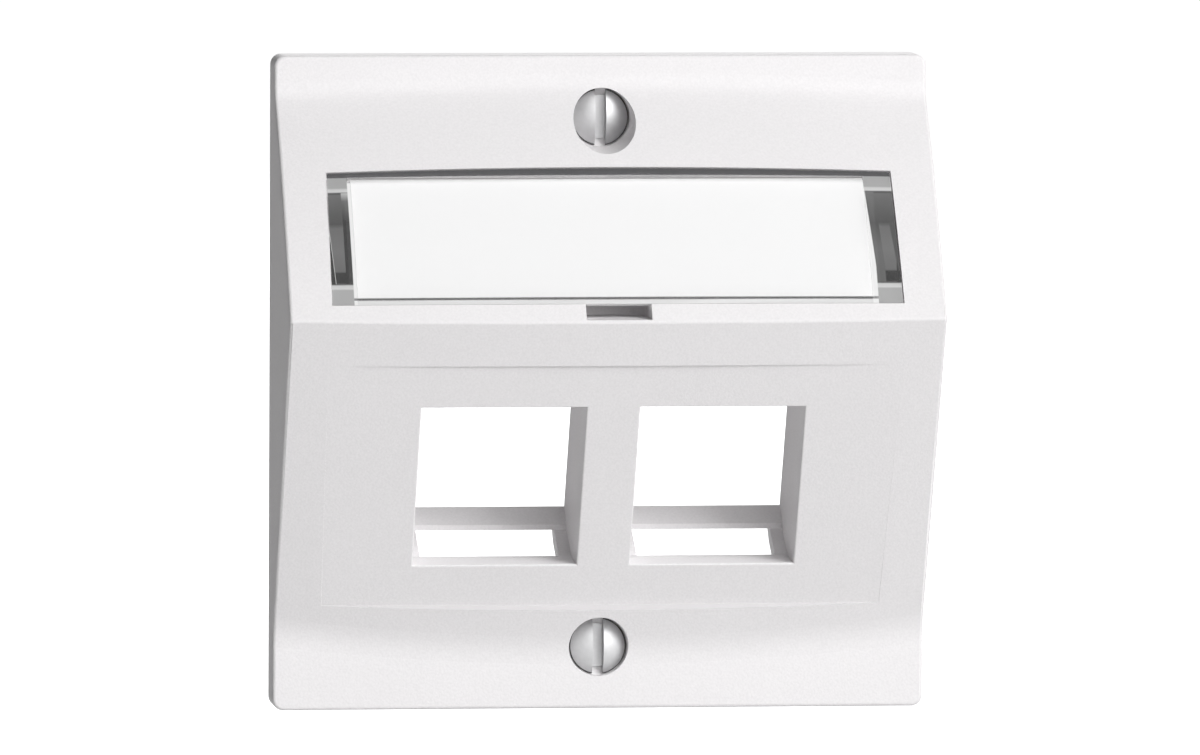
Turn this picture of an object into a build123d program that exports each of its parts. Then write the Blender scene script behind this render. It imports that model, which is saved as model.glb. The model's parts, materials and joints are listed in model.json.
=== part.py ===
from build123d import *
import math
import os

# A slanted outlet plate for two snap-in network jacks, made to be screwed to a wall box.
# Millimetres. X runs along the plate, Y points into the wall, Z is up.
# The origin is the centre of the back face, so the plate's front lies at negative Y.

# Moulding, overall
plate_width = 60.0
plate_height = 60.0
rim_depth = 4.0  # wall to the flat rim above and below the wedge
corner_radius = 1.0
edge_round = 0.3
shell_wall = 2.0
side_wall = 1.8

# The wedge's outline seen from the side, at the plate's two ends
ridge_height = 6.9  # ridge above the middle of the plate
ridge_depth = 19.3  # wall to ridge
upper_rim = 3.5  # flat rim above the wedge
lower_rim = 7.3  # flat rim below the wedge
upper_crown = 0.65  # how far the upper slope arches over its own chord
ridge_round = 0.35
upper_blend = 2.4
lower_blend = 5.8

# How much the same outline grows towards the middle of the plate's width
ridge_drop_middle = 0.2
ridge_swell_middle = 0.13
upper_foot_swell = 0.88
lower_foot_swell = 1.9
upper_crown_swell = 0.25

# Label field in the upper slope, measured down the slope from the ridge and square to it
field_from_ridge = 1.65
field_length = 14.15
field_half_top = 25.9
field_half_low = 26.15
field_arch = 0.25  # the upper edge bows up by this much
field_depth = 1.0  # slope to the ledge that the window lies on
tray_wall = 1.4

# Label card and its seat in the ledge
card_half_width = 23.6
card_low = 1.3  # card's lower edge above the field's lower edge
card_height = 12.7
card_thickness = 0.2
card_gap = 0.15
card_sink = 0.05  # card's face under the ledge

# Clear window over the label field
window_gap = 0.1
window_sink = 0.12  # window's face under the slope
leg_thickness = 0.6
leg_length = 3.0
hook_length = 4.5
hook_drop = 1.3

# Wells in the ledge for the window's two snap legs
well_inner = 24.25
well_width = 1.6
well_low = 2.75
well_length = 9.8
well_depth = 4.4  # ledge to the bottom of a well
leg_gap = 0.12

# Notch under the window's lower edge, for a screwdriver's tip
notch_width = 6.0
notch_floor = 6.9  # height of the notch's floor above the plate's middle
notch_roof = 8.12
notch_reach = 7.2  # from the ridge's depth to the middle of the bowed end
notch_bow = 1.8
notch_wall = 1.3
notch_mouth = 0.3  # the field's lower wall is cut away this far over the notch

# Flat panel let into the lower slope
panel_from_ridge = 4.75
panel_length = 25.65
panel_half_top = 26.3
panel_half_low = 25.7
panel_bow = 0.12
panel_draft = 19.0

# Jack openings in the panel, and the sleeves that hold the jacks
jack_pitch = 20.0
jack_width = 15.1
jack_from_ridge = 9.25
jack_height = 16.85
jack_edge_round = 0.15
sleeve_wall = 1.4
sleeve_depth = 11.1
lip_depth = 2.2  # thickness of the lip that the jack's spring catches behind
lip_step = 1.2
sill_drop = 1.65  # how far the floor falls away behind the opening
slot_start = 4.05
slot_end = 8.5
slot_width = 12.8
bar_rise = 0.92
bar_land = 0.5  # upright strip along the bar's lower edge

# Fixing screws, oval countersunk heads, and the bores that they sit in
screw_from_edge = 5.7  # plate's upper or lower edge to the nearer screw
head_diameter = 5.2
head_rise = 0.8
head_edge = 0.2
head_top_depth = 4.1  # wall to the top of the domed head
thread_diameter = 3.0
thread_start = 0.05  # how far the thread reaches in front of the wall
waist_diameter = 2.6  # plain neck between head and thread
screw_length = 16.0  # from the head's rim to the tip
tip_bevel = 0.5
slot_cut_width = 1.0
slot_cut_depth = 1.6
head_gap = 0.1
thread_gap = 0.06
bore_draft = 2.5  # degrees
boss_diameter = 9.0

half_width = plate_width / 2
half_height = plate_height / 2
upper_foot_height = half_height - upper_rim
lower_foot_height = lower_rim - half_height
screw_height = half_height - screw_from_edge
thread_radius = thread_diameter / 2
waist_radius = waist_diameter / 2
head_radius = head_diameter / 2
far = plate_width  # longer than any cut needs
trim_margin = 1.0  # how far the front face is made past the plate's edges
on_plane = 0.01  # an edge whose middle is this near a plane lies in it


def swell(x):
    """1 in the middle of the plate's width, 0 at its ends."""
    return 1 - (x / half_width) ** 2


def ridge_at(x):
    return Vector(
        x,
        -ridge_depth - ridge_swell_middle * swell(x),
        ridge_height - ridge_drop_middle * swell(x),
    )


def upper_foot_at(x):
    return Vector(x, -rim_depth, upper_foot_height + upper_foot_swell * swell(x))


def lower_foot_at(x):
    return Vector(x, -rim_depth, lower_foot_height - lower_foot_swell * swell(x))


def upper_slope_point(x, from_ridge):
    """A point of the arched upper slope, by its distance from the ridge along the chord."""
    ridge, foot = ridge_at(x), upper_foot_at(x)
    chord = foot - ridge
    out = chord.normalized().cross(Vector(1, 0, 0)) * -1
    share = from_ridge / chord.length
    crown = upper_crown + upper_crown_swell * swell(x)
    return ridge + chord * share + out * (4 * crown * share * (1 - share))


def lower_slope_point(x, from_ridge):
    ridge, foot = ridge_at(x), lower_foot_at(x)
    return ridge + (foot - ridge).normalized() * from_ridge


def slope_plane(low, high):
    """Plane along the width through two points of a slope, local Y up it, facing out."""
    up = (high - low).normalized()
    return Plane(origin=(0, low.Y, low.Z), x_dir=(1, 0, 0), z_dir=Vector(1, 0, 0).cross(up))


field_plane = slope_plane(
    upper_slope_point(field_half_low, field_from_ridge),
    upper_slope_point(field_half_top, field_from_ridge + field_length),
)
# The panel's plane starts at the ridge, so its local Y is negative down the slope.
panel_plane = slope_plane(lower_slope_point(panel_half_top, 10.0), ridge_at(panel_half_top))
panel_plane.origin = Vector(0, ridge_at(panel_half_top).Y, ridge_at(panel_half_top).Z)


def mitre(corner, out_a, out_b, inset):
    """Where a corner of the outline goes when both of its sides move in by inset."""
    return corner - (out_a + out_b) * (inset / (1 + out_a.dot(out_b)))


def side_section(x, inset=0.0):
    """The moulding's closed outline in the plane at x, its front drawn in by inset.

    Its ends and its back run past the plate, which is trimmed from it.
    """
    ridge, upper, lower = ridge_at(x), upper_foot_at(x), lower_foot_at(x)
    across = Vector(1, 0, 0)
    rim_out = Vector(0, -1, 0)
    upper_out = across.cross((ridge - upper).normalized()) * -1
    lower_out = across.cross((lower - ridge).normalized()) * -1
    crown = upper_crown + upper_crown_swell * swell(x)
    ridge = mitre(ridge, upper_out, lower_out, inset)
    upper = mitre(upper, rim_out, upper_out, inset)
    lower = mitre(lower, rim_out, lower_out, inset)
    crest = (ridge + upper) * 0.5 + upper_out * crown
    end, back = half_height + trim_margin, trim_margin
    outline = [
        Line((x, back, -end), (x, lower.Y, -end)),
        Line((x, lower.Y, -end), lower),
        Line(lower, ridge),
        ThreePointArc(ridge, crest, upper),
        Line(upper, (x, upper.Y, end)),
        Line((x, upper.Y, end), (x, back, end)),
        Line((x, back, end), (x, back, -end)),
    ]
    face = make_face(outline).face()
    for corner, radius in ((ridge, ridge_round), (upper, upper_blend), (lower, lower_blend)):
        vertex = face.vertices().sort_by_distance(corner)[0]
        face = face.fillet_2d(radius, [vertex])
    return face


def swollen_block(inset=0.0):
    """A block behind the moulding's swollen front face, or behind that face drawn in."""
    end = half_width + trim_margin
    return loft([side_section(x, inset) for x in (-end, 0.0, end)])


def plate_block(inset=0.0):
    """The plate's square outline, drawn in by inset, from far in front to its back face."""
    sketch = Rectangle(plate_width - 2 * inset, plate_height - 2 * inset)
    sketch = fillet(sketch.vertices(), corner_radius)
    return extrude(Plane.XZ * sketch, far)


def outer_shell():
    """The plate's outer form, solid behind, with its front edges rounded."""
    body = plate_block() & swollen_block()
    near_edge = half_width - corner_radius
    front = [
        e
        for e in body.edges()
        if e.bounding_box().max.Y < -edge_round
        and max(abs(e.center().X), abs(e.center().Z)) > near_edge
    ]
    return fillet(front, edge_round)


def field_outline(grow=0.0):
    """The label field's outline on its plane, larger all round by grow."""
    top, low = field_length + grow, -grow
    left_low, right_low = (-field_half_low - grow, low), (field_half_low + grow, low)
    left_top, right_top = (-field_half_top - grow, top), (field_half_top + grow, top)
    return make_face(
        [
            Line(left_low, right_low),
            Line(right_low, right_top),
            ThreePointArc(right_top, (0, top + field_arch), left_top),
            Line(left_top, left_low),
        ]
    )


def on_field(sketch, height):
    """A sketch placed on the label field's plane, at a height over it."""
    return field_plane.offset(height) * sketch


def field_box(x, y, width, length, top, bottom):
    """A box on the label field, from height bottom to height top, lower corner at y."""
    sketch = Pos(x, y + length / 2) * Rectangle(width, length)
    return extrude(on_field(sketch, bottom), top - bottom)


def well(grow=0.0):
    """One snap leg's well, on the right, larger all round by grow."""
    return field_box(
        well_inner + well_width / 2,
        well_low - grow,
        well_width + 2 * grow,
        well_length + 2 * grow,
        -field_depth if grow == 0 else -field_depth / 2,
        -field_depth - well_depth - grow,
    )


def both_sides(solid):
    return solid + mirror(solid, about=Plane.YZ)


def notch(grow=0.0):
    """The screwdriver notch: straight sides and a bowed end, cut square to the wall."""
    half, deep_end = notch_width / 2 + grow, -ridge_depth + notch_reach + grow
    corner = deep_end - notch_bow
    plan = make_face(
        [
            Line((-half, -far), (half, -far)),
            Line((half, -far), (half, corner)),
            ThreePointArc((half, corner), (0, deep_end), (-half, corner)),
            Line((-half, corner), (-half, -far)),
        ]
    )
    return Pos(0, 0, notch_floor - grow) * extrude(plan, notch_roof - notch_floor + 2 * grow)


def on_profile(direction):
    """A direction of the plate's frame in the jack sleeve's side outline."""
    return Vector(-panel_plane.y_dir.dot(direction), -panel_plane.z_dir.dot(direction))


def bar_low_edge():
    """The lower edge of the bar behind the slot, in the sleeve's side outline."""
    return Vector(jack_height + sill_drop, slot_end)


def sleeve_profile(grow=0.0, front=0.0):
    """A jack sleeve's side outline on the panel's plane: local X down the slope, Y inwards."""
    top, low = -grow, jack_height + grow
    step = -lip_step - grow
    floor = jack_height + sill_drop + grow
    if grow:
        corners = [(step, front), (step, sleeve_depth), (floor - bar_rise, sleeve_depth)]
    else:
        corners = [
            (top, front),
            (top, lip_depth),
            (step, lip_depth),
            (step, far),
            (floor - bar_rise, far),
            (floor - bar_rise, sleeve_depth),
            bar_low_edge() + on_profile(Vector(0, 0, bar_land)),
        ]
    corners += [(floor, slot_end), (floor, slot_start), (low, 0.0)]
    if not grow:
        corners.append((low, front))
    return make_face(Polyline(*corners, close=True))


def sleeve_prism(profile, width):
    """A sleeve outline swept along the plate's width about X = 0."""
    side = Plane(
        origin=panel_plane.from_local_coords((0, -jack_from_ridge, 0)),
        x_dir=panel_plane.y_dir * -1,
        z_dir=(1, 0, 0),
    )
    return extrude(side * profile, width / 2, both=True)


def jack_cavity():
    """Everything that one jack's way through the plate takes out, centred on X = 0."""
    cavity = sleeve_prism(sleeve_profile(front=-far), jack_width)
    # The slot goes down behind the sill, and the bar is flat below, level with its lower edge.
    low_edge = bar_low_edge()
    behind = low_edge + on_profile(Vector(0, far / 4, 0))
    slot = Polyline(
        (jack_height, slot_start),
        (jack_height, slot_end),
        low_edge,
        behind,
        (low_edge.X + far / 4, behind.Y),
        (low_edge.X + far / 4, slot_start),
        close=True,
    )
    return cavity + sleeve_prism(make_face(slot), slot_width)


def jack_sleeve():
    return sleeve_prism(sleeve_profile(sleeve_wall), jack_width + 2 * sleeve_wall)


def panel_recess():
    """The flat panel's recess: everything in front of its plane, with drafted edges."""
    top, low = -panel_from_ridge, -panel_from_ridge - panel_length
    outline = make_face(
        [
            Line((-panel_half_top, top), (panel_half_top, top)),
            Line((panel_half_top, top), (panel_half_low, low)),
            ThreePointArc((panel_half_low, low), (0, low - panel_bow), (-panel_half_low, low)),
            Line((-panel_half_low, low), (-panel_half_top, top)),
        ]
    )
    return extrude(panel_plane * outline, shell_wall, taper=-panel_draft)


def head_rim_depth():
    """Wall to the widest place of a seated screw head."""
    return head_top_depth - head_rise


def screw_bore(height):
    """The stepped hole for one fixing screw: drafted entry, countersink, shank hole."""
    entry, hole = head_radius + head_gap, thread_radius + thread_gap
    seat_top = head_rim_depth() - head_edge
    seat_low = seat_top - (entry - hole)
    flare = far * math.tan(math.radians(bore_draft))
    half = make_face(
        Polyline(
            (0, far),
            (hole, far),
            (hole, -seat_low),
            (entry, -seat_top),
            (entry + flare, -seat_top - far),
            (0, -seat_top - far),
            close=True,
        )
    )
    return Pos(0, 0, height) * revolve(half, Axis.Y)


def screw_boss(height):
    boss = Pos(0, 0, height) * Rot(90, 0, 0) * Cylinder(
        boss_diameter / 2, ridge_depth, align=(Align.CENTER, Align.CENTER, Align.MIN)
    )
    return boss


def front_plate():
    outer = outer_shell()
    core = extrude(side_section(half_width, shell_wall), plate_width, dir=(-1, 0, 0))
    hollow = core & plate_block(side_wall)
    # What stands in the hollow is rooted halfway into the shell's wall.
    reach = swollen_block(shell_wall / 2) + Pos(0, far / 2, 0) * Box(plate_width, far, plate_height)
    tray = extrude(
        on_field(field_outline(tray_wall), -field_depth - card_sink - card_thickness - tray_wall),
        field_depth + tray_wall,
    )
    inner = tray + both_sides(well(tray_wall)) + notch(notch_wall)
    inner += screw_boss(screw_height) + screw_boss(-screw_height)
    for side in (-1, 1):
        inner += Pos(side * jack_pitch / 2, 0, 0) * jack_sleeve()
    plate = outer - hollow + (inner & reach)
    plate -= extrude(on_field(field_outline(), -field_depth), far)
    plate -= both_sides(well())
    plate -= card_seat()
    plate -= notch()
    plate -= field_box(0, -notch_mouth, notch_width, notch_mouth, far / 4, -field_depth)
    plate -= panel_recess()
    for side in (-1, 1):
        plate -= Pos(side * jack_pitch / 2, 0, 0) * jack_cavity()
        plate -= screw_bore(side * screw_height)
    return fillet(jack_mouth_edges(plate), jack_edge_round)


def jack_mouth_edges(plate):
    """The edges that the jack openings leave on the panel."""
    inside = panel_half_low - edge_round
    low_end = jack_from_ridge + jack_height + jack_edge_round
    found = []
    for edge in plate.edges():
        centre = panel_plane.to_local_coords(edge.center())
        on_panel = abs(centre.Z) < on_plane and abs(centre.X) < inside
        if on_panel and -low_end < centre.Y < -jack_from_ridge + jack_edge_round:
            found.append(edge)
    return found


def card_sketch(gap=0.0):
    return Pos(0, card_low + card_height / 2) * Rectangle(
        2 * (card_half_width + gap), card_height + 2 * gap
    )


def card_seat():
    """The shallow seat in the ledge that the label card lies in."""
    bottom = -field_depth - card_sink - card_thickness
    return extrude(on_field(card_sketch(card_gap), bottom), card_sink + card_thickness)


def label_card():
    bottom = -field_depth - card_sink - card_thickness
    return extrude(on_field(card_sketch(), bottom), card_thickness)


def snap_leg():
    """One leg of the window, on the right: an upright tongue with a sloped hook on it."""
    low, length = well_low + leg_gap, well_length - 2 * leg_gap
    inner = well_inner + leg_gap
    top, bottom = -field_depth, -field_depth - leg_length
    tongue = field_box(inner + leg_thickness / 2, low, leg_thickness, length, top, bottom)
    outer = inner + leg_thickness
    side = Plane(
        origin=field_plane.from_local_coords((0, low + (length - hook_length) / 2, 0)),
        x_dir=(1, 0, 0),
        z_dir=field_plane.y_dir,
    )
    # In this side view local Y points into the plate.
    hook = Polyline(
        (outer, -bottom - hook_drop),
        (well_inner + well_width - leg_gap, -bottom - hook_drop / 2),
        (outer, -bottom),
        close=True,
    )
    return tongue + extrude(side * make_face(hook), hook_length)


def label_window():
    """Clear cover: flat behind, following the slope in front, with a snap leg at each end."""
    pane = extrude(on_field(field_outline(-window_gap), -field_depth), far / 4)
    pane &= swollen_block(window_sink)
    return pane - notch() + both_sides(snap_leg())


def fixing_screw(height):
    """One screw at its place, with a straight slot through its head."""
    rim = head_rim_depth()
    neck = rim - head_edge - (head_radius - waist_radius)
    tip = rim - screw_length
    half = make_face(
        [
            Line((0, -head_top_depth), (0, -tip)),
            Line((0, -tip), (thread_radius - tip_bevel, -tip)),
            Line((thread_radius - tip_bevel, -tip), (thread_radius, -tip - tip_bevel)),
            Line((thread_radius, -tip - tip_bevel), (thread_radius, -thread_start)),
            Line((thread_radius, -thread_start), (waist_radius, -thread_start)),
            Line((waist_radius, -thread_start), (waist_radius, -neck)),
            Line((waist_radius, -neck), (head_radius, -rim + head_edge)),
            Line((head_radius, -rim + head_edge), (head_radius, -rim)),
            dome_arc(rim),
        ]
    )
    slot = Pos(0, -head_top_depth - far / 2 + slot_cut_depth, 0) * Box(
        slot_cut_width, far, head_diameter
    )
    return Pos(0, 0, height) * (revolve(half, Axis.Y) - slot)


def dome_arc(rim):
    """The domed top of a screw head, from its rim to its middle."""
    radius = (head_radius**2 + head_rise**2) / (2 * head_rise)
    half_angle = math.asin(head_radius / radius) / 2
    middle = (radius * math.sin(half_angle), -head_top_depth + radius * (1 - math.cos(half_angle)))
    return ThreePointArc((head_radius, -rim), middle, (0, -head_top_depth))


def write_parts():
    os.makedirs("parts", exist_ok=True)
    export_step(front_plate(), "parts/front_plate.step")
    export_step(label_window(), "parts/label_window.step")
    export_step(label_card(), "parts/label_card.step")
    export_step(fixing_screw(screw_height), "parts/upper_screw.step")
    export_step(fixing_screw(-screw_height), "parts/lower_screw.step")


write_parts()
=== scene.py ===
"""Looks of a slanted outlet plate for two snap-in network jacks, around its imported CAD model."""

import json
import math

import bmesh
import bpy
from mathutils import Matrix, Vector

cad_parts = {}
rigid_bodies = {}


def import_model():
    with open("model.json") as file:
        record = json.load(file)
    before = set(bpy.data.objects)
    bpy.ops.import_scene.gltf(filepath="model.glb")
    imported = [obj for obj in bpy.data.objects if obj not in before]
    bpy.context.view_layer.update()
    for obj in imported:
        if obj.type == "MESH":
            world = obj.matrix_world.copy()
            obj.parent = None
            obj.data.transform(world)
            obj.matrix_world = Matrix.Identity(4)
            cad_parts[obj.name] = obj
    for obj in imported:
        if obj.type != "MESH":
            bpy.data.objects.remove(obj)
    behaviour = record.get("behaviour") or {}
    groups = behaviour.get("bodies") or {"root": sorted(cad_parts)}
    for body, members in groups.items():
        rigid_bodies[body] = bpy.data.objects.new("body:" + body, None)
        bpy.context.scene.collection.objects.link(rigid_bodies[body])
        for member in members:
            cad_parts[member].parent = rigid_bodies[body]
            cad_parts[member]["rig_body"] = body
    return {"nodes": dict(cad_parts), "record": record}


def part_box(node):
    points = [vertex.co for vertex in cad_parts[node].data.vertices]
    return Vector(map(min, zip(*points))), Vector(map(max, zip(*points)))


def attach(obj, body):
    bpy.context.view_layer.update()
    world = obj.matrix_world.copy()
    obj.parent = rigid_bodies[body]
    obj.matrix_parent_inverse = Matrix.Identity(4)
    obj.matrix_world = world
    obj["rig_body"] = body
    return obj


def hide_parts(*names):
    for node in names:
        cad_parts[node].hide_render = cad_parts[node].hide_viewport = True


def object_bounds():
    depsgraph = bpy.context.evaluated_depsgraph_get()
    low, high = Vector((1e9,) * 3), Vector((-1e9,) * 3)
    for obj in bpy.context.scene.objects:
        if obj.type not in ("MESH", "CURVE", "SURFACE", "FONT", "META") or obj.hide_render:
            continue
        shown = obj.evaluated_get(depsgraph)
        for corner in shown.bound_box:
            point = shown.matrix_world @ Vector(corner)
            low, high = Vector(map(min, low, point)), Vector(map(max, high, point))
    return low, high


bl_info = {
    "name": "Slanted network outlet plate",
    "version": (1, 0, 0),
    "blender": (4, 5, 0),
    "location": "View3D > Sidebar > Outlet",
    "description": "Gives the outlet plate its plastic, label, window and fixing screws",
    "category": "Object",
}

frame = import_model()
cad_low, cad_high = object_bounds()

MM = 0.001
PLATE, WINDOW, CARD = "front_plate", "label_window", "label_card"
SCREWS = ("upper_screw", "lower_screw")


def lift_direction():
    """Square out of the label field, the way the window slides."""
    joints = frame["record"]["behaviour"]["joints"]
    axis = next(joint["axis"] for joint in joints if joint["name"] == "window_lift")
    return Vector(axis).normalized()


# The label field's plane in the upper slope, and its length up the slope.
FIELD_OUT = lift_direction()
FIELD_UP = Vector((0.0, FIELD_OUT.z, -FIELD_OUT.y))
FIELD_LENGTH = 14.15 * MM
# The window's gap to the field's edge, and how far its legs reach under the slope's plane.
WINDOW_GAP = 0.1 * MM
LEG_REACH = 4.0 * MM


def field_origin():
    """The middle of the label field's lower edge, found from the window that lies in it."""
    points = [vertex.co for vertex in frame["nodes"][WINDOW].data.vertices]
    up = min(point.dot(FIELD_UP) for point in points) - WINDOW_GAP
    out = min(point.dot(FIELD_OUT) for point in points) + LEG_REACH
    return FIELD_UP * up + FIELD_OUT * out


FIELD_ORIGIN = field_origin()

# Heights of the narrow step along the panel's lower edge, where shade is painted, and how soft its
# limits are.
STEP_HEIGHTS = (-21.0 * MM, -20.1 * MM)
STEP_SOFT = 0.02 * MM

# Painted light and shade where the window's two ends show their snap legs, from the field's lower
# edge to its upper one, as shares of its length and sRGB greys: solid blocks in painted shade at
# both ends of the snap leg, a painted highlight on each one's rim, the hook's slot in painted
# black shade, the leg and its crease in painted shade.
LEG_LIGHT_AND_SHADE = (
    (0.115, "A5"),
    (0.125, "CC"),
    (0.148, "C4"),
    (0.156, "58"),
    (0.170, "20"),
    (0.238, "24"),
    (0.252, "62"),
    (0.400, "6C"),
    (0.570, "64"),
    (0.605, "44"),
    (0.655, "4C"),
    (0.825, "62"),
    (0.842, "3C"),
    (0.850, "CC"),
    (0.870, "C8"),
    (0.880, "A3"),
    (0.958, "A0"),
    (0.962, "50"),
)
# The gap between the card and the leg: painted shade, and painted light from above at its upper
# end.
LEFT_GAP_LIGHT_AND_SHADE = ((0.156, "22"), (0.62, "24"), (0.78, "62"), (0.84, "B8"))
RIGHT_GAP_LIGHT_AND_SHADE = ((0.156, "58"), (0.40, "60"), (0.60, "44"), (0.84, "66"))
# Shares of the field's length: where the leg lies open, its crease, and where the shade painted on
# the right leg's side shows.
LEG_OPEN = (0.16, 0.842)
LEG_CREASE = 0.59
SIDE_OPEN = (0.25, 0.60)

# Places across the window from its middle: where the card's end shows, a little past the card
# itself, how softly, and where the painted shade of the gap beside it ends. Then the left leg's
# painted highlight along its outer edge, the black shade painted in the well beyond it and how
# both slant over the field's length.
CARD_EDGE = 24.03 * MM
CARD_EDGE_SOFT = 0.03 * MM
GAP_END = 24.6 * MM
OUTER_HIGHLIGHT = (25.93 * MM, 25.98 * MM)
OUTER_WELL_SHADE = (25.95 * MM, 26.0 * MM)
OUTER_SLANT = 0.86 * MM
# The shade painted on the right leg's side, and how it slants. The right end shows further in than
# the left one and leans in from a place upwards, and its painted gap shade and painted lit strip
# lie further in too.
RIGHT_SIDE_SHADE = (26.1 * MM, 26.25 * MM)
RIGHT_SIDE_SLANT = 0.1
RIGHT_SHIFT = 0.21 * MM
RIGHT_LEAN_FROM = 4.0 * MM
RIGHT_LEAN = 0.062
RIGHT_GAP_SHIFT = 0.2 * MM
RIGHT_LIT_SHIFT = 0.42 * MM
# Places up the field from its lower edge: where light is painted on the plastic below the card,
# the thin painted shadow line at the card's lower edge, the painted shade of the pocket's upper
# edge, the top of the painted lit strips beside the card, and the painted shade along the pane's
# upper edge.
LOW_LIT = (0.48 * MM, 0.56 * MM)
LOW_SHADOW_LINE = (0.56 * MM, 0.80 * MM)
TOP_SHADE = (12.7 * MM, 13.45 * MM)
STRIP_TOP = (12.9 * MM, 13.3 * MM)
TOP_EDGE_SHADE = (13.56 * MM, 13.62 * MM)
# The same across the window: the painted shade at the pocket's sides and the painted lit strips.
SIDE_SHADE = (23.9 * MM, 24.05 * MM)
STRIP_START = (23.68 * MM, 23.74 * MM)
# Heights out of the field's plane between which the clear legs turn into the tinted pane.
PANE_FRONT = (-0.45 * MM, -0.35 * MM)

# The screws: where shade is painted dark at the head's edge, for the gap round it, the turning
# rings' spacing, and the thread, which starts a little ahead of the wall and overlaps the neck
# that it joins.
HEAD_EDGE_SHADE = (2.48 * MM, 2.56 * MM)
RING_SPACING = 0.12 * MM
THREAD_RADIUS = 1.5 * MM
THREAD_AHEAD = 0.05 * MM
NECK_TRIM = 0.01 * MM
THREAD_OVERLAP = 0.02 * MM
TIP_BEVEL = 0.5 * MM
SHARP_CORNER = 25.0

# The stage, in metres and degrees: where the lamps point, each lamp's place and width, the
# camera's place and turn, its lens in millimetres, and half the floor's width.
AIM = Vector((0.0, -10.0, 2.0)) * MM
KEY_LAMP = ((0.60, -0.86, 0.66), 0.6)
FRONT_LAMP = ((0.35, -1.30, 0.36), 0.8)
BACK_LAMP = ((0.30, 1.10, 0.50), 0.6)
CAMERA_PLACE = (-0.16443, -1.39482, 0.11505)
CAMERA_TURN = (85.3217, -0.26965, -6.7218)
CAMERA_LENS = 460.38
FLOOR_HALF = 8.0
# The floor's glow for the eye: its levels at two distances from the plate.
GLOW_DISTANCES = (0.1, 0.5)
GLOW_LEVELS = (0.6, 0.96)

SMOOTH = {"interpolation_type": "SMOOTHSTEP"}


def linear_from_hex(text):
    """An sRGB hex colour as the linear RGBA that shader sockets take."""
    channels = [int(text[i : i + 2], 16) / 255 for i in (0, 2, 4)]
    return [c / 12.92 if c <= 0.04045 else ((c + 0.055) / 1.055) ** 2.4 for c in channels] + [1.0]


def darker(colour, share):
    """A colour at a share of its brightness."""
    return [channel * share for channel in colour[:3]] + [1.0]


def node(tree, kind, *values, out=None, **named):
    """Adds a shader node and gives back its first output in use, or the one that out names.

    Values go to its inputs in order. Of the named ones, those in lower case are settings and
    the others are inputs. A value that is a socket is linked.
    """
    made = tree.nodes.new("ShaderNode" + kind)
    for name, value in named.items():
        if name.islower():
            setattr(made, name, value)
    given = list(zip((socket for socket in made.inputs if socket.enabled), values))
    for name, value in named.items():
        if not name.islower():
            given.append((made.inputs[name.replace("_", " ")], value))
    for socket, value in given:
        if isinstance(value, bpy.types.NodeSocket):
            tree.links.new(value, socket)
        else:
            socket.default_value = value
    if out:
        return made.outputs[out]
    return next((socket for socket in made.outputs if socket.enabled), None)


def band(tree, value, low, high, soft):
    """1 between low and high, falling to 0 within soft on either side."""
    rise = node(tree, "MapRange", value, low - soft, low + soft, **SMOOTH)
    fall = node(tree, "MapRange", value, high - soft, high + soft, **SMOOTH)
    return node(tree, "Math", rise, fall, operation="SUBTRACT")


def new_material(name):
    """A node material with no nodes yet, and its node tree."""
    material = bpy.data.materials.new(name)
    material.use_nodes = True
    material.node_tree.nodes.clear()
    return material, material.node_tree


def finish_with(name, material):
    """Gives a CAD node its finished material in every slot."""
    slots = frame["nodes"][name].data.materials
    if not slots:
        slots.append(material)
    for i in range(len(slots)):
        slots[i] = material


def shaded_mesh(work, name):
    """The bmesh as a mesh, shaded smooth except at sharp corners."""
    for face in work.faces:
        face.smooth = True
    for edge in work.edges:
        edge.smooth = edge.calc_face_angle(math.pi) < math.radians(SHARP_CORNER)
    mesh = bpy.data.meshes.new(name)
    work.to_mesh(mesh)
    work.free()
    # Normals kept from the CAD mesh no longer fit a mesh that was cut and joined.
    kept = mesh.attributes.get("custom_normal")
    if kept:
        mesh.attributes.remove(kept)
    return mesh


class PlasticSettings(bpy.types.PropertyGroup):
    colour: bpy.props.FloatVectorProperty(
        name="Colour",
        description="Colour of the moulded plastic",
        subtype="COLOR",
        size=4,
        min=0.0,
        max=1.0,
        default=linear_from_hex("F0EEEF"),
    )
    grain: bpy.props.FloatProperty(
        name="Grain",
        description="Width of the fine texture that the mould leaves",
        default=0.22 * MM,
        unit="LENGTH",
        subtype="DISTANCE",
        precision=5,
    )


class WindowSettings(bpy.types.PropertyGroup):
    # The grey of the shade painted along the window's upper edge.
    upper_edge_shade: bpy.props.FloatVectorProperty(
        name="Edge colour",
        description="Grey of the window's dark upper edge",
        subtype="COLOR",
        size=4,
        min=0.0,
        max=1.0,
        default=linear_from_hex("434345"),
    )


class CardSettings(bpy.types.PropertyGroup):
    colour: bpy.props.FloatVectorProperty(
        name="Colour",
        description="Colour of the label card's paper",
        subtype="COLOR",
        size=4,
        min=0.0,
        max=1.0,
        default=linear_from_hex("FAFAFA"),
    )


class ScrewSettings(bpy.types.PropertyGroup):
    colour: bpy.props.FloatVectorProperty(
        name="Colour",
        description="Colour of the zinc-plated steel",
        subtype="COLOR",
        size=4,
        min=0.0,
        max=1.0,
        default=linear_from_hex("C4C4C5"),
    )
    pitch: bpy.props.FloatProperty(
        name="Thread pitch",
        description="Distance from one thread crest to the next",
        default=0.5 * MM,
        unit="LENGTH",
        subtype="DISTANCE",
        precision=5,
    )
    thread_depth: bpy.props.FloatProperty(
        name="Thread depth",
        description="Crest to root of the thread",
        default=0.29 * MM,
        unit="LENGTH",
        subtype="DISTANCE",
        precision=5,
    )


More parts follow.
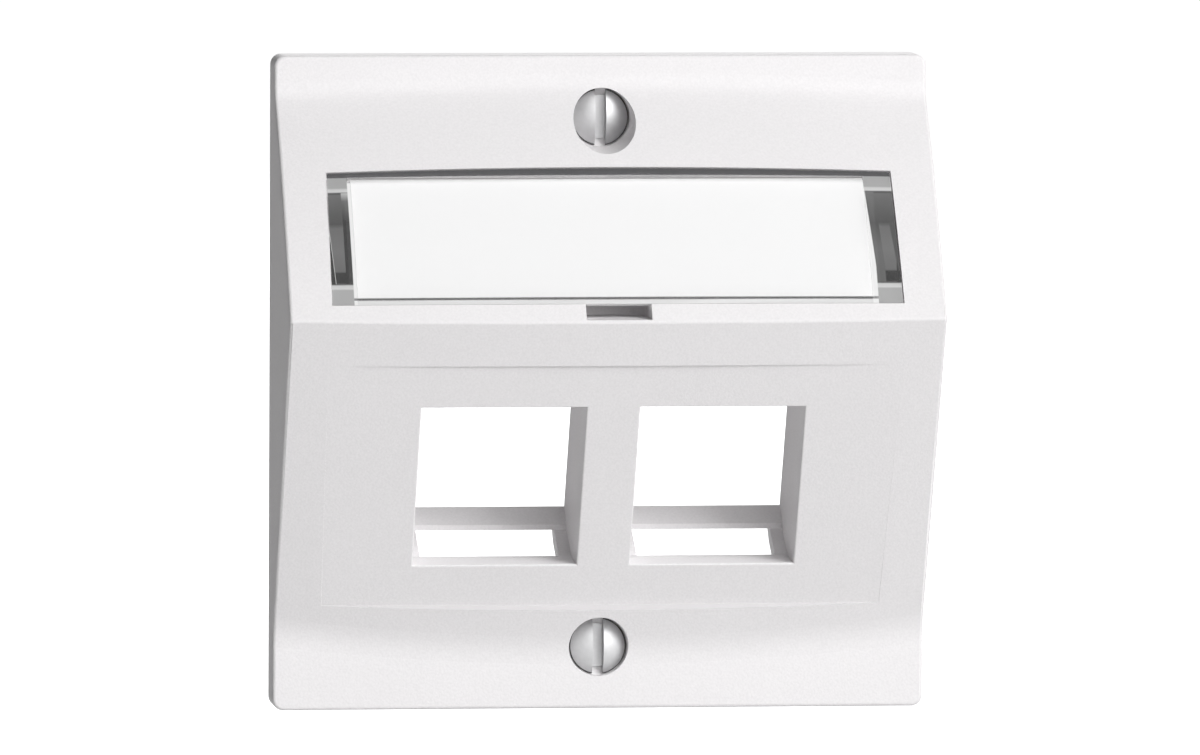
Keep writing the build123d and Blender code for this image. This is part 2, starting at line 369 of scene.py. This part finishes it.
class StageSettings(bpy.types.PropertyGroup):
    floor_drop: bpy.props.FloatProperty(
        name="Floor drop",
        description="How far the floor lies under the plate",
        default=45 * MM,
        unit="LENGTH",
        subtype="DISTANCE",
    )
    key_power: bpy.props.FloatProperty(
        name="Key power",
        description="Power of the soft lamp at the upper right",
        default=11.0,
        unit="POWER",
    )
    front_power: bpy.props.FloatProperty(
        name="Front power",
        description="Power of the large soft lamp in front",
        default=5.9,
        unit="POWER",
    )
    back_power: bpy.props.FloatProperty(
        name="Back power",
        description="Power of the soft lamp behind, which shows the back",
        default=5.5,
        unit="POWER",
    )
    fill_level: bpy.props.FloatProperty(
        name="Fill level",
        description="Strength of the even light from the surroundings",
        default=0.04,
        min=0.0,
        max=1.0,
    )


def moulded_abs(settings):
    """White ABS, injection moulded: an even warm white with a soft sheen and a very fine grain."""
    material, tree = new_material("moulded_white_abs")
    point = node(tree, "TexCoord", out="Object")
    # Clouds about 9 mm wide move the white by a hair, as the melt's flow does.
    cloud = node(tree, "TexNoise", point, Scale=1 / (9 * MM), Detail=2.0)
    cloudy = darker(settings.colour, 0.985)
    colour = node(tree, "Mix", cloud, cloudy, list(settings.colour), data_type="RGBA")
    # The mould's texture, about 0.2 mm wide, breaks up the sheen, and its pits look up to a
    # sixteenth darker, which shows as speckles on the shaded walls.
    grain = node(tree, "TexNoise", point, Scale=1 / settings.grain, Detail=3.0)
    speckle = node(tree, "MapRange", grain, 0.3, 0.7, 0.06, 0.0)
    colour = node(tree, "Mix", speckle, colour, linear_from_hex("000000"), data_type="RGBA")
    # Shade is painted on the narrow step along the panel's lower edge, which faces up, so it looks
    # a little greyer.
    normal = node(tree, "NewGeometry", out="True Normal")
    faces_up = node(tree, "SeparateXYZ", normal, out="Z")
    faces_up = node(tree, "MapRange", faces_up, 0.4, 0.5, **SMOOTH)
    height = node(tree, "SeparateXYZ", point, out="Z")
    step_shade = band(tree, height, *STEP_HEIGHTS, STEP_SOFT)
    step_shade = node(tree, "Math", step_shade, faces_up, operation="MULTIPLY")
    colour = node(tree, "Mix", step_shade, colour, linear_from_hex("D2D0D1"), data_type="RGBA")
    shader = node(
        tree,
        "BsdfPrincipled",
        Base_Color=colour,
        Roughness=node(tree, "MapRange", grain, To_Min=0.60, To_Max=0.70),
        IOR=1.53,
        Specular_IOR_Level=0.3,
        Normal=node(tree, "Bump", Strength=0.5, Distance=0.03 * MM, Height=grain),
    )
    node(tree, "OutputMaterial", Surface=shader)
    return material


class WindowPlaces:
    """Where a point of the window lies on the label field, as the sockets its masks start from."""

    def __init__(self, tree):
        self.point = node(tree, "TexCoord", out="Object")
        offset = node(tree, "VectorMath", self.point, FIELD_ORIGIN, operation="SUBTRACT")
        self.along = node(tree, "VectorMath", offset, FIELD_UP, operation="DOT_PRODUCT")
        self.height = node(tree, "VectorMath", offset, FIELD_OUT, operation="DOT_PRODUCT")
        self.share = node(tree, "Math", self.along, FIELD_LENGTH, operation="DIVIDE")
        sideways = node(tree, "SeparateXYZ", self.point, out="X")
        self.across = node(tree, "Math", sideways, operation="ABSOLUTE")
        self.right = node(tree, "MapRange", sideways, -0.01 * MM, 0.01 * MM, **SMOOTH)
        self.left = node(tree, "Math", 1.0, self.right, operation="SUBTRACT")
        # The right leg leans in over the card's end towards its top.
        rise = node(tree, "Math", self.along, RIGHT_LEAN_FROM, operation="SUBTRACT")
        rise = node(tree, "Math", rise, 0.0, operation="MAXIMUM")
        lean = node(tree, "Math", rise, RIGHT_LEAN, RIGHT_SHIFT, operation="MULTIPLY_ADD")
        self.ends = node(tree, "Math", self.right, lean, self.across, operation="MULTIPLY_ADD")


def greys_up_the_field(tree, at, stops):
    """Greys that change from the field's lower edge to its upper one."""
    colour = node(tree, "ValToRGB", at.share)
    elements = colour.node.color_ramp.elements
    while len(elements) < len(stops):
        elements.new(0.5)
    for element, (place, grey) in zip(elements, stops):
        element.position = place
        element.color = linear_from_hex(grey * 3)
    return colour


def ends_light_and_shade(tree, at):
    """Painted light and shade on the window's two ends, where its snap legs and their wells show.
    """
    leg = greys_up_the_field(tree, at, LEG_LIGHT_AND_SHADE)
    left_gap = greys_up_the_field(tree, at, LEFT_GAP_LIGHT_AND_SHADE)
    right_gap = greys_up_the_field(tree, at, RIGHT_GAP_LIGHT_AND_SHADE)
    gap = node(tree, "Mix", at.right, left_gap, right_gap, data_type="RGBA")
    gap_end = node(tree, "Math", at.right, RIGHT_GAP_SHIFT, GAP_END, operation="MULTIPLY_ADD")
    past_gap = node(tree, "Math", at.ends, gap_end, operation="SUBTRACT")
    in_gap = node(tree, "MapRange", past_gap, 0.0, 0.1 * MM, 1.0, 0.0, **SMOOTH)
    beside_leg = band(tree, at.share, *LEG_OPEN, 0.003)
    in_gap = node(tree, "Math", in_gap, beside_leg, operation="MULTIPLY")
    colour = node(tree, "Mix", in_gap, leg, gap, data_type="RGBA")

    # Outside the leg and below its crease, black shade is painted in the well.
    slant = node(tree, "Math", at.share, LEG_CREASE, operation="SUBTRACT")
    slant = node(tree, "Math", slant, OUTER_SLANT, operation="MULTIPLY")
    outer = node(tree, "Math", at.across, slant, operation="SUBTRACT")
    below_crease = band(tree, at.share, LEG_OPEN[0], LEG_CREASE, 0.006)
    well = node(tree, "MapRange", outer, *OUTER_WELL_SHADE, **SMOOTH)
    well = node(tree, "Math", well, below_crease, operation="MULTIPLY")
    colour = node(tree, "Mix", well, colour, linear_from_hex("242424"), data_type="RGBA")

    # Shade is painted on the right leg's side, wider up and narrowing downwards.
    side = node(tree, "Math", at.along, RIGHT_SIDE_SLANT, at.across, operation="MULTIPLY_ADD")
    side = node(tree, "MapRange", side, *RIGHT_SIDE_SHADE, **SMOOTH)
    side = node(tree, "Math", side, at.right, operation="MULTIPLY")
    side = node(tree, "Math", side, band(tree, at.share, *SIDE_OPEN, 0.02), operation="MULTIPLY")
    colour = node(tree, "Mix", side, colour, linear_from_hex("484848"), data_type="RGBA")

    # A painted highlight runs along the left leg's outer edge.
    line = band(tree, outer, *OUTER_HIGHLIGHT, 0.02 * MM)
    line = node(tree, "Math", line, below_crease, operation="MULTIPLY")
    line = node(tree, "Math", line, at.left, operation="MULTIPLY")
    return node(tree, "Mix", line, colour, linear_from_hex("C0C0C0"), data_type="RGBA")


def over_card(tree, at):
    """Painted light and shade on the clear plastic over the card, and how much it hides of the
    card.
    """
    # Painted shade from the pocket's edges, and a thin painted shadow line where the card ends
    # below.
    shade = node(tree, "MapRange", at.along, *TOP_SHADE, 0.0, 0.45, **SMOOTH)
    side_shade = node(tree, "MapRange", at.ends, *SIDE_SHADE, 0.0, 0.2, **SMOOTH)
    shade = node(tree, "Math", shade, side_shade, operation="MAXIMUM")
    low_line = band(tree, at.along, *LOW_SHADOW_LINE, 0.04 * MM)
    low_line = node(tree, "Math", low_line, 0.85, operation="MULTIPLY")
    shade = node(tree, "Math", shade, low_line, operation="MAXIMUM")

    # Past the card's ends and below it, light is painted on the clear plastic.
    strip = node(tree, "Math", at.right, RIGHT_LIT_SHIFT, at.across, operation="MULTIPLY_ADD")
    strip = node(tree, "MapRange", strip, *STRIP_START, 0.0, 0.92, **SMOOTH)
    strip_top = node(tree, "MapRange", at.along, *STRIP_TOP, 1.0, 0.0, **SMOOTH)
    strip = node(tree, "Math", strip, strip_top, operation="MULTIPLY")
    lit = node(tree, "MapRange", at.along, *LOW_LIT, 0.85, 0.0, **SMOOTH)
    lit = node(tree, "Math", lit, strip, operation="MAXIMUM")
    off_line = node(tree, "Math", 1.0, low_line, operation="SUBTRACT")
    lit = node(tree, "Math", lit, off_line, operation="MULTIPLY")

    dark, bright = linear_from_hex("404041"), linear_from_hex("F6F6F6")
    colour = node(tree, "Mix", lit, dark, bright, data_type="RGBA")
    return colour, node(tree, "Math", shade, lit, operation="MAXIMUM")


def clear_polycarbonate(settings):
    """Clear moulding: see-through over the card, with painted light and shade over its legs and
    painted shade along its top edge.
    """
    material, tree = new_material("clear_polycarbonate")
    at = WindowPlaces(tree)
    card_colour, card_cover = over_card(tree, at)
    leg_from, leg_to = CARD_EDGE - CARD_EDGE_SOFT, CARD_EDGE + CARD_EDGE_SOFT
    over_leg = node(tree, "MapRange", at.ends, leg_from, leg_to, **SMOOTH)
    colour = node(tree, "Mix", over_leg, card_colour, ends_light_and_shade(tree, at), data_type="RGBA")
    cover = node(tree, "Mix", over_leg, card_cover, 0.97)
    # Shade is painted along the pane's upper edge.
    top_edge = node(tree, "MapRange", at.along, *TOP_EDGE_SHADE, **SMOOTH)
    colour = node(tree, "Mix", top_edge, colour, list(settings.upper_edge_shade), data_type="RGBA")
    top_cover = node(tree, "Math", top_edge, 0.95, operation="MULTIPLY")
    cover = node(tree, "Math", cover, top_cover, operation="MAXIMUM")
    # The painted light and shade lie in the pane's front. The legs and the pane's back stay clear.
    front = node(tree, "MapRange", at.height, *PANE_FRONT, **SMOOTH)
    alpha = node(tree, "Math", cover, front, operation="MULTIPLY")
    alpha = node(tree, "Math", alpha, 0.015, operation="MAXIMUM")
    # Clear plastic lets the lamps through to the card, also where shade is painted on it.
    lamp_ray = node(tree, "LightPath", out="Is Shadow Ray")
    lights_through = node(tree, "Math", 1.0, lamp_ray, operation="SUBTRACT")
    alpha = node(tree, "Math", alpha, lights_through, operation="MULTIPLY")
    # Faint wear about 1.5 mm wide makes its gloss uneven.
    wear = node(tree, "TexNoise", at.point, Scale=1 / (1.5 * MM), Detail=2.0)
    shader = node(
        tree,
        "BsdfPrincipled",
        Base_Color=colour,
        Roughness=node(tree, "MapRange", wear, To_Min=0.12, To_Max=0.2),
        IOR=1.58,
        Alpha=alpha,
    )
    node(tree, "OutputMaterial", Surface=shader)
    return material


def label_paper(settings):
    """Uncoated white card stock: flat and matt, with a faint fibre."""
    material, tree = new_material("uncoated_label_card")
    point = node(tree, "TexCoord", out="Object")
    # Fibres about 0.35 mm wide, bent so that they don't lie in rows.
    fibre = node(tree, "TexNoise", point, Scale=1 / (0.35 * MM), Detail=4.0, Distortion=0.6)
    fibrous = darker(settings.colour, 0.97)
    shader = node(
        tree,
        "BsdfPrincipled",
        Base_Color=node(tree, "Mix", fibre, fibrous, list(settings.colour), data_type="RGBA"),
        Roughness=0.85,
        Normal=node(tree, "Bump", Strength=0.15, Distance=0.01 * MM, Height=fibre),
    )
    node(tree, "OutputMaterial", Surface=shader)
    return material


def zinc_plated_steel(settings):
    """Zinc-plated steel, turned: satin silver-grey with fine rings round the axis."""
    material, tree = new_material("zinc_plated_steel")
    point = node(tree, "TexCoord", out="Object")
    off_axis = node(tree, "VectorMath", point, (1, 0, 1), operation="MULTIPLY")
    radius = node(tree, "VectorMath", off_axis, operation="LENGTH")
    # A mottle about 0.5 mm wide makes the plated grey uneven.
    mottle = node(tree, "TexNoise", point, Scale=1 / (0.5 * MM), Detail=4.0)
    mottled = darker(settings.colour, 0.82)
    colour = node(tree, "Mix", mottle, mottled, list(settings.colour), data_type="RGBA")
    # Shade is painted dark on the head's outer edge, for the gap round the head.
    edge = node(tree, "MapRange", radius, *HEAD_EDGE_SHADE, **SMOOTH)
    colour = node(tree, "Mix", edge, colour, linear_from_hex("3C3C3D"), data_type="RGBA")
    # Turning rings, drawn a little coarser than the real ones.
    rings = node(tree, "Math", radius, math.tau / RING_SPACING, operation="MULTIPLY")
    rings = node(tree, "Math", rings, operation="SINE")
    shader = node(
        tree,
        "BsdfPrincipled",
        Base_Color=colour,
        Metallic=1.0,
        Roughness=node(tree, "MapRange", mottle, To_Min=0.50, To_Max=0.58),
        Normal=node(tree, "Bump", Strength=0.12, Distance=0.01 * MM, Height=rings),
    )
    node(tree, "OutputMaterial", Surface=shader)
    return material


def cut_off(work, place, outward):
    """Cuts a mesh square to the Y axis at a place, drops what lies outward and closes the cut."""
    cut = bmesh.ops.bisect_plane(
        work,
        geom=work.verts[:] + work.edges[:] + work.faces[:],
        plane_co=(0, place, 0),
        plane_no=(0, outward, 0),
        clear_outer=True,
    )
    rim = [item for item in cut["geom_cut"] if isinstance(item, bmesh.types.BMEdge)]
    bmesh.ops.edgeloop_fill(work, edges=rim)


def screw_head(name, centre, neck):
    """The CAD screw's own head and waist, cut off at the neck, centred on its axis."""
    work = bmesh.new()
    work.from_mesh(frame["nodes"][name].data)
    bmesh.ops.translate(work, verts=work.verts, vec=-centre)
    bmesh.ops.remove_doubles(work, verts=work.verts, dist=0.001 * MM)
    cut_off(work, neck, 1)
    return work


def add_thread(work, start, end, pitch, depth):
    """Adds a closed threaded shank round the Y axis, from its start to its bevelled end."""
    columns, spare_turns = 40, 2
    # One turn's outline as shares of the pitch: flat root, flank, flat crest.
    root, crest = THREAD_RADIUS - depth, THREAD_RADIUS
    profile = ((0.0, root), (0.125, root), (0.5, crest), (0.625, crest))
    turns = math.ceil((end - start) / pitch) + spare_turns + 1
    rows = [
        (turn - spare_turns + share, radius) for turn in range(turns) for share, radius in profile
    ]
    made = bmesh.new()
    grid = []
    for column in range(columns):
        angle = math.tau * column / columns
        direction = Vector((math.cos(angle), 0, -math.sin(angle)))
        line = []
        for share, radius in rows:
            along = Vector((0, start + pitch * (share + column / columns), 0))
            line.append(made.verts.new(direction * radius + along))
        grid.append(line)
    for column, here in enumerate(grid):
        # The last column meets the first one a whole turn further on.
        there = grid[column + 1] if column + 1 < columns else grid[0][len(profile) :]
        for row in range(len(there) - 1):
            made.faces.new((here[row], here[row + 1], there[row + 1], there[row]))
    cut_off(made, start, -1)
    cut_off(made, end, 1)
    for vertex in made.verts:
        limit = THREAD_RADIUS - TIP_BEVEL + (end - vertex.co.y)
        reach = math.hypot(vertex.co.x, vertex.co.z)
        if reach > limit:
            vertex.co.x *= limit / reach
            vertex.co.z *= limit / reach
    bmesh.ops.recalc_face_normals(made, faces=made.faces)
    mesh = bpy.data.meshes.new("thread")
    made.to_mesh(mesh)
    made.free()
    work.from_mesh(mesh)
    bpy.data.meshes.remove(mesh)


class OUTLET_OT_plate(bpy.types.Operator):
    """Gives the white moulding its plastic"""

    bl_idname = "outlet.plate"
    bl_label = "Front plate"

    def execute(self, context):
        finish_with(PLATE, moulded_abs(context.scene.outlet_plastic))
        return {"FINISHED"}


class OUTLET_OT_window(bpy.types.Operator):
    """Gives the label window its clear plastic"""

    bl_idname = "outlet.window"
    bl_label = "Label window"

    def execute(self, context):
        finish_with(WINDOW, clear_polycarbonate(context.scene.outlet_window))
        return {"FINISHED"}


class OUTLET_OT_card(bpy.types.Operator):
    """Gives the label card its paper"""

    bl_idname = "outlet.card"
    bl_label = "Label card"

    def execute(self, context):
        finish_with(CARD, label_paper(context.scene.outlet_card))
        return {"FINISHED"}


class OUTLET_OT_screws(bpy.types.Operator):
    """Builds the two fixing screws with their threads"""

    bl_idname = "outlet.screws"
    bl_label = "Fixing screws"

    def execute(self, context):
        settings = context.scene.outlet_screws
        material = zinc_plated_steel(settings)
        for name in SCREWS:
            low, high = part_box(name)
            centre = Vector((0, low.y, (low.z + high.z) / 2))
            thread_start = -low.y - THREAD_AHEAD
            work = screw_head(name, centre, thread_start - NECK_TRIM)
            add_thread(
                work,
                thread_start - THREAD_OVERLAP,
                high.y - low.y,
                settings.pitch,
                settings.thread_depth,
            )
            mesh = shaded_mesh(work, name + "_threaded")
            mesh.materials.append(material)
            piece = bpy.data.objects.new(name + "_threaded", mesh)
            context.scene.collection.objects.link(piece)
            piece.location = centre
            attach(piece, frame["nodes"][name]["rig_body"])
            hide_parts(name)
        return {"FINISHED"}


def seen_directly(tree):
    """1 for what the camera sees by itself, in gloss or through clear plastic, 0 for lighting."""
    camera = node(tree, "LightPath", out="Is Camera Ray")
    gloss = node(tree, "LightPath", out="Is Glossy Ray")
    clear = node(tree, "LightPath", out="Is Transmission Ray")
    seen = node(tree, "Math", camera, gloss, operation="MAXIMUM")
    return node(tree, "Math", seen, clear, operation="MAXIMUM")


def seamless_paper():
    """Seamless white paper: lit as any surface, and brought up to white where it is seen."""
    material, tree = new_material("seamless_white_paper")
    point = node(tree, "TexCoord", out="Object")
    # The pulp is uneven over about 20 mm.
    pulp = node(tree, "TexNoise", point, Scale=1 / (20 * MM), Detail=3.0)
    pale, paler = linear_from_hex("E5E5E5"), linear_from_hex("E9E9E9")
    colour = node(tree, "Mix", pulp, pale, paler, data_type="RGBA")
    # The glow grows away from the plate, where the lamps fall off, so the shadow stays near it.
    away = node(tree, "VectorMath", point, operation="LENGTH")
    glow = node(tree, "MapRange", away, *GLOW_DISTANCES, *GLOW_LEVELS)
    glow = node(tree, "Math", glow, seen_directly(tree), operation="MULTIPLY")
    paper = node(tree, "BsdfDiffuse", Color=colour)
    light = node(tree, "Emission", Strength=glow)
    node(tree, "OutputMaterial", Surface=node(tree, "AddShader", paper, light))
    return material


def white_surroundings(scene, fill):
    """A white world for the eye and for reflections, and a dim one for lighting."""
    world = bpy.data.worlds.new("white_surroundings")
    scene.world = world
    world.use_nodes = True
    tree = world.node_tree
    tree.nodes.clear()
    strength = node(tree, "MapRange", seen_directly(tree), To_Min=fill, To_Max=1.0)
    light = node(tree, "Background", Color=(1, 1, 1, 1), Strength=strength)
    node(tree, "OutputWorld", Surface=light)


def lay_floor(scene, height):
    """A square of seamless paper at a height, which isn't part of the object."""
    corners = [(-1, -1), (1, -1), (1, 1), (-1, 1)]
    mesh = bpy.data.meshes.new("floor")
    mesh.from_pydata([(x * FLOOR_HALF, y * FLOOR_HALF, 0) for x, y in corners], [], [(0, 1, 2, 3)])
    mesh.materials.append(seamless_paper())
    floor = bpy.data.objects.new("floor", mesh)
    floor.location = (0, 0, height)
    scene.collection.objects.link(floor)


def hang_lamp(scene, name, place, width, power):
    """A square soft lamp that points at the plate."""
    data = bpy.data.lights.new(name, "AREA")
    data.shape = "SQUARE"
    data.size = width
    data.energy = power
    lamp = bpy.data.objects.new(name, data)
    lamp.location = place
    lamp.rotation_euler = (AIM - Vector(place)).to_track_quat("-Z", "Y").to_euler()
    scene.collection.objects.link(lamp)


def set_camera(scene):
    """At the photograph's viewing angle, from the left and a little above."""
    data = bpy.data.cameras.new("camera")
    data.lens = CAMERA_LENS
    data.sensor_width = 36
    data.clip_start, data.clip_end = 0.05, 50
    camera = bpy.data.objects.new("camera", data)
    camera.location = CAMERA_PLACE
    camera.rotation_euler = [math.radians(angle) for angle in CAMERA_TURN]
    scene.collection.objects.link(camera)
    scene.camera = camera


class OUTLET_OT_stage(bpy.types.Operator):
    """Sets the floor, the lamps and the camera"""

    bl_idname = "outlet.stage"
    bl_label = "Stage"

    def execute(self, context):
        scene = context.scene
        settings = scene.outlet_stage
        scene.view_settings.view_transform = "Standard"
        white_surroundings(scene, settings.fill_level)
        lay_floor(scene, cad_low.z - settings.floor_drop)
        hang_lamp(scene, "key_lamp", *KEY_LAMP, settings.key_power)
        hang_lamp(scene, "front_lamp", *FRONT_LAMP, settings.front_power)
        hang_lamp(scene, "back_lamp", *BACK_LAMP, settings.back_power)
        set_camera(scene)
        return {"FINISHED"}


class OUTLET_PT_panel(bpy.types.Panel):
    bl_idname = "OUTLET_PT_panel"
    bl_label = "Outlet plate"
    bl_space_type = "VIEW_3D"
    bl_region_type = "UI"
    bl_category = "Outlet"

    def draw(self, context):
        for operator, group in PIECES:
            box = self.layout.box()
            box.operator(operator.bl_idname)
            settings = getattr(context.scene, group)
            for name in settings.bl_rna.properties.keys():
                if name not in ("rna_type", "name"):
                    box.prop(settings, name)


GROUPS = {
    "outlet_plastic": PlasticSettings,
    "outlet_window": WindowSettings,
    "outlet_card": CardSettings,
    "outlet_screws": ScrewSettings,
    "outlet_stage": StageSettings,
}
PIECES = (
    (OUTLET_OT_plate, "outlet_plastic"),
    (OUTLET_OT_window, "outlet_window"),
    (OUTLET_OT_card, "outlet_card"),
    (OUTLET_OT_screws, "outlet_screws"),
    (OUTLET_OT_stage, "outlet_stage"),
)


def register():
    for name, group in GROUPS.items():
        bpy.utils.register_class(group)
        setattr(bpy.types.Scene, name, bpy.props.PointerProperty(type=group))
    for operator, _ in PIECES:
        bpy.utils.register_class(operator)
    bpy.utils.register_class(OUTLET_PT_panel)


def unregister():
    bpy.utils.unregister_class(OUTLET_PT_panel)
    for operator, _ in reversed(PIECES):
        bpy.utils.unregister_class(operator)
    for name, group in reversed(GROUPS.items()):
        delattr(bpy.types.Scene, name)
        bpy.utils.unregister_class(group)


def main():
    register()
    bpy.ops.outlet.plate()
    bpy.ops.outlet.window()
    bpy.ops.outlet.card()
    bpy.ops.outlet.screws()
    bpy.ops.outlet.stage()


if __name__ == "__main__":
    main()
